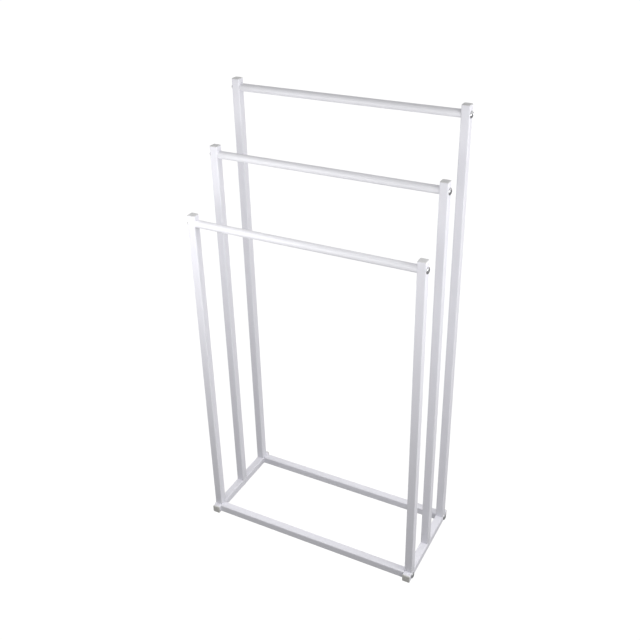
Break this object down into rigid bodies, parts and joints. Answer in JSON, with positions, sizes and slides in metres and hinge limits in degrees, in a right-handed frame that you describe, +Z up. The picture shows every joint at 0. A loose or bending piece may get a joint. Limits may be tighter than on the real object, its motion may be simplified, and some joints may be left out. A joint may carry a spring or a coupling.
{
  "type": "free-standing towel rack",
  "caption": "Free-standing stepped towel rack: a low rectangular base of square tube, pairs of square posts rising towards the back, and a round towel bar across each pair.",
  "frame": {"origin": "on the floor at the centre of the footprint, at the bottom of the box round the rack", "axes": "+Z up, +X along the towel bars to the right as seen from the low front tier, +Y from the low front tier towards the tall rear tier"},
  "size_m": [0.4494, 0.205, 0.868],
  "materials": {
    "powder_coat": "semi-gloss white powder coat on steel tube",
    "bar_powder_coat": "semi-gloss white powder coat on round steel tube",
    "white_plastic": "satin moulded white plastic",
    "grey_plastic": "satin moulded light grey plastic",
    "glide_plastic": "matte moulded plastic",
    "zinc_plate": "bright zinc-plated steel",
    "chrome": "polished chrome plate"
  },
  "bodies": {
    "root": {"left_side_rail": "powder_coat", "right_side_rail": "powder_coat", "front_rail": "powder_coat", "rear_rail": "powder_coat", "front_left_post": "powder_coat", "front_right_post": "powder_coat", "middle_left_post": "powder_coat", "middle_right_post": "powder_coat", "rear_left_post": "powder_coat", "rear_right_post": "powder_coat", "front_bar": "bar_powder_coat", "middle_bar": "bar_powder_coat", "rear_bar": "bar_powder_coat", "front_left_post_cap": "white_plastic", "front_right_post_cap": "white_plastic", "middle_left_post_cap": "white_plastic", "middle_right_post_cap": "white_plastic", "rear_left_post_cap": "white_plastic", "rear_right_post_cap": "white_plastic", "front_left_rail_cap": "grey_plastic", "front_right_rail_cap": "grey_plastic", "rear_left_rail_cap": "grey_plastic", "rear_right_rail_cap": "grey_plastic", "front_left_glide": "glide_plastic", "front_right_glide": "glide_plastic", "middle_left_glide": "glide_plastic", "middle_right_glide": "glide_plastic", "rear_left_glide": "glide_plastic", "rear_right_glide": "glide_plastic", "bar_end_inserts": "zinc_plate", "rail_end_inserts": "zinc_plate", "post_foot_inserts": "zinc_plate", "post_screws": "zinc_plate", "bar_screws": "chrome", "rail_screws": "chrome"}
  },
  "joints": []
}
